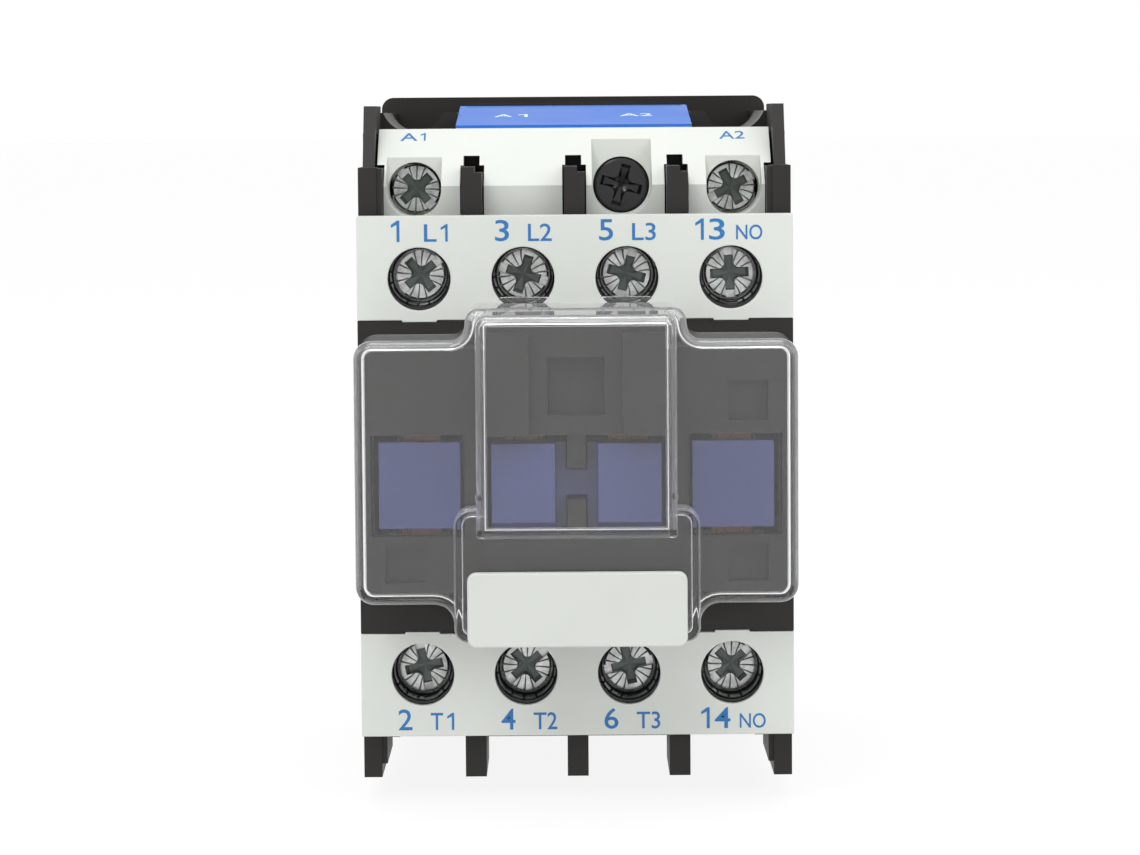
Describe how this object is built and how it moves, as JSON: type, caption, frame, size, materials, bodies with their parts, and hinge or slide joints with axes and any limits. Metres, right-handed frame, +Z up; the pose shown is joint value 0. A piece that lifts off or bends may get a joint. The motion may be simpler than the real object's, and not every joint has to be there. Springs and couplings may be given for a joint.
{
  "type": "magnetic contactor",
  "caption": "Compact magnetic motor-starting contactor with screw terminals, blue contact carrier, clear clip-on dust cover and a sprung rail clip.",
  "frame": {"origin": "centre of the rail seat, on the plane that rests on the rail's face", "axes": "+X to the right across the poles, +Y into the panel, +Z up towards the coil terminals"},
  "size_m": [0.045, 0.084, 0.074],
  "materials": {
    "dark_housing": "satin dark warm-grey moulded plastic",
    "gloss_dark": "smooth dark moulded plastic",
    "white_moulding": "matte off-white moulded plastic",
    "marker_white": "smooth off-white plate",
    "label_blue": "printed blue film",
    "carrier_blue": "satin blue moulded plastic",
    "clear_cover": "clear moulded plastic",
    "black_screw": "black oxide",
    "zinc_steel": "bright zinc plate",
    "silver_tip": "silver alloy",
    "copper": "bare copper",
    "plated_brass": "tin-plated brass",
    "winding": "enamelled copper wire under clear tape",
    "core_steel": "laminated silicon steel",
    "spring_steel": "music wire",
    "cushion_rubber": "soft black rubber"
  },
  "bodies": {
    "housing": {"base_housing": "dark_housing", "front_housing": "dark_housing", "upper_terminal_cover": "white_moulding", "lower_terminal_cover": "white_moulding", "screw_guides": "gloss_dark", "coil_terminal_block": "white_moulding", "coil_label": "label_blue", "housing_screw": "black_screw", "fixed_tips": "silver_tip", "core_cushion": "cushion_rubber", "fixed_core": "core_steel", "shading_rings": "copper", "coil_bobbin": "white_moulding", "coil_winding": "winding", "coil_terminal_a1": "plated_brass", "coil_terminal_a2": "plated_brass", "return_springs": "spring_steel", "rail_clip_springs": "spring_steel", "line_contact_1": "plated_brass", "line_contact_2": "plated_brass", "line_contact_3": "plated_brass", "line_contact_4": "plated_brass", "load_contact_1": "plated_brass", "load_contact_2": "plated_brass", "load_contact_3": "plated_brass", "load_contact_4": "plated_brass"},
    "carrier": {"contact_carrier": "carrier_blue", "moving_core": "core_steel", "core_pin": "spring_steel", "contact_springs": "spring_steel"},
    "bridges": {"contact_bridges": "copper", "moving_tips": "silver_tip"},
    "rail_clip": {"rail_clip": "dark_housing"},
    "dust_cover": {"dust_cover": "clear_cover", "marker_plate": "marker_white"},
    "clamp_line_1": {"clamp_washer_line_1": "zinc_steel"},
    "screw_line_1": {"terminal_screw_line_1": "zinc_steel"},
    "clamp_line_2": {"clamp_washer_line_2": "zinc_steel"},
    "screw_line_2": {"terminal_screw_line_2": "zinc_steel"},
    "clamp_line_3": {"clamp_washer_line_3": "zinc_steel"},
    "screw_line_3": {"terminal_screw_line_3": "zinc_steel"},
    "clamp_line_4": {"clamp_washer_line_4": "zinc_steel"},
    "screw_line_4": {"terminal_screw_line_4": "zinc_steel"},
    "clamp_load_1": {"clamp_washer_load_1": "zinc_steel"},
    "screw_load_1": {"terminal_screw_load_1": "zinc_steel"},
    "clamp_load_2": {"clamp_washer_load_2": "zinc_steel"},
    "screw_load_2": {"terminal_screw_load_2": "zinc_steel"},
    "clamp_load_3": {"clamp_washer_load_3": "zinc_steel"},
    "screw_load_3": {"terminal_screw_load_3": "zinc_steel"},
    "clamp_load_4": {"clamp_washer_load_4": "zinc_steel"},
    "screw_load_4": {"terminal_screw_load_4": "zinc_steel"},
    "clamp_a1": {"clamp_washer_a1": "zinc_steel"},
    "screw_a1": {"coil_screw_a1": "zinc_steel"},
    "clamp_a2": {"clamp_washer_a2": "zinc_steel"},
    "screw_a2": {"coil_screw_a2": "zinc_steel"}
  },
  "joints": [
    {"name": "carrier_slide", "type": "slide", "parent": "housing", "child": "carrier", "axis": [0, 1, 0], "range_m": [0, 0.0055], "stiffness_N_per_m": 300, "springref_m": -0.004, "deforming": ["return_springs"]},
    {"name": "bridge_slide", "type": "slide", "parent": "carrier", "child": "bridges", "axis": [0, -1, 0], "range_m": [0, 0.002], "deforming": ["contact_springs"]},
    {"name": "rail_clip_slide", "type": "slide", "parent": "housing", "child": "rail_clip", "axis": [0, 0, -1], "range_m": [0, 0.0035], "stiffness_N_per_m": 1500, "springref_m": -0.001, "deforming": ["rail_clip_springs"]},
    {"name": "dust_cover_pull", "type": "slide", "parent": "housing", "child": "dust_cover", "axis": [0, -1, 0], "range_m": [0, 0.025]},
    {"name": "clamp_lift_line_1", "type": "slide", "parent": "housing", "child": "clamp_line_1", "axis": [0, -1, 0], "range_m": [0, 0.0024]},
    {"name": "screw_turn_line_1", "type": "hinge", "parent": "clamp_line_1", "child": "screw_line_1", "pos_m": [-0.01608, -0.0572, 0.01835], "axis": [0, -1, 0], "range_deg": [0, 1440]},
    {"name": "clamp_lift_line_2", "type": "slide", "parent": "housing", "child": "clamp_line_2", "axis": [0, -1, 0], "range_m": [0, 0.0024]},
    {"name": "screw_turn_line_2", "type": "hinge", "parent": "clamp_line_2", "child": "screw_line_2", "pos_m": [-0.00536, -0.0572, 0.01835], "axis": [0, -1, 0], "range_deg": [0, 1440]},
    {"name": "clamp_lift_line_3", "type": "slide", "parent": "housing", "child": "clamp_line_3", "axis": [0, -1, 0], "range_m": [0, 0.0024]},
    {"name": "screw_turn_line_3", "type": "hinge", "parent": "clamp_line_3", "child": "screw_line_3", "pos_m": [0.00536, -0.0572, 0.01835], "axis": [0, -1, 0], "range_deg": [0, 1440]},
    {"name": "clamp_lift_line_4", "type": "slide", "parent": "housing", "child": "clamp_line_4", "axis": [0, -1, 0], "range_m": [0, 0.0024]},
    {"name": "screw_turn_line_4", "type": "hinge", "parent": "clamp_line_4", "child": "screw_line_4", "pos_m": [0.01608, -0.0572, 0.01835], "axis": [0, -1, 0], "range_deg": [0, 1440]},
    {"name": "clamp_lift_load_1", "type": "slide", "parent": "housing", "child": "clamp_load_1", "axis": [0, -1, 0], "range_m": [0, 0.0024]},
    {"name": "screw_turn_load_1", "type": "hinge", "parent": "clamp_load_1", "child": "screw_load_1", "pos_m": [-0.01608, -0.0572, -0.02275], "axis": [0, -1, 0], "range_deg": [0, 1440]},
    {"name": "clamp_lift_load_2", "type": "slide", "parent": "housing", "child": "clamp_load_2", "axis": [0, -1, 0], "range_m": [0, 0.0024]},
    {"name": "screw_turn_load_2", "type": "hinge", "parent": "clamp_load_2", "child": "screw_load_2", "pos_m": [-0.00536, -0.0572, -0.02275], "axis": [0, -1, 0], "range_deg": [0, 1440]},
    {"name": "clamp_lift_load_3", "type": "slide", "parent": "housing", "child": "clamp_load_3", "axis": [0, -1, 0], "range_m": [0, 0.0024]},
    {"name": "screw_turn_load_3", "type": "hinge", "parent": "clamp_load_3", "child": "screw_load_3", "pos_m": [0.00536, -0.0572, -0.02275], "axis": [0, -1, 0], "range_deg": [0, 1440]},
    {"name": "clamp_lift_load_4", "type": "slide", "parent": "housing", "child": "clamp_load_4", "axis": [0, -1, 0], "range_m": [0, 0.0024]},
    {"name": "screw_turn_load_4", "type": "hinge", "parent": "clamp_load_4", "child": "screw_load_4", "pos_m": [0.01608, -0.0572, -0.02275], "axis": [0, -1, 0], "range_deg": [0, 1440]},
    {"name": "clamp_lift_a1", "type": "slide", "parent": "housing", "child": "clamp_a1", "axis": [0, -1, 0], "range_m": [0, 0.0018]},
    {"name": "screw_turn_a1", "type": "hinge", "parent": "clamp_a1", "child": "screw_a1", "pos_m": [-0.01685, -0.046, 0.0271], "axis": [0, -1, 0], "range_deg": [0, 1080]},
    {"name": "clamp_lift_a2", "type": "slide", "parent": "housing", "child": "clamp_a2", "axis": [0, -1, 0], "range_m": [0, 0.0018]},
    {"name": "screw_turn_a2", "type": "hinge", "parent": "clamp_a2", "child": "screw_a2", "pos_m": [0.01675, -0.046, 0.0271], "axis": [0, -1, 0], "range_deg": [0, 1080]}
  ],
  "couplings": [
    {"joint": "bridge_slide", "follows": "carrier_slide", "ratio": 0.36364},
    {"joint": "screw_turn_line_1", "follows": "clamp_lift_line_1", "rad_per_m": 10472},
    {"joint": "screw_turn_line_2", "follows": "clamp_lift_line_2", "rad_per_m": 10472},
    {"joint": "screw_turn_line_3", "follows": "clamp_lift_line_3", "rad_per_m": 10472},
    {"joint": "screw_turn_line_4", "follows": "clamp_lift_line_4", "rad_per_m": 10472},
    {"joint": "screw_turn_load_1", "follows": "clamp_lift_load_1", "rad_per_m": 10472},
    {"joint": "screw_turn_load_2", "follows": "clamp_lift_load_2", "rad_per_m": 10472},
    {"joint": "screw_turn_load_3", "follows": "clamp_lift_load_3", "rad_per_m": 10472},
    {"joint": "screw_turn_load_4", "follows": "clamp_lift_load_4", "rad_per_m": 10472},
    {"joint": "screw_turn_a1", "follows": "clamp_lift_a1", "rad_per_m": 10472},
    {"joint": "screw_turn_a2", "follows": "clamp_lift_a2", "rad_per_m": 10472}
  ]
}
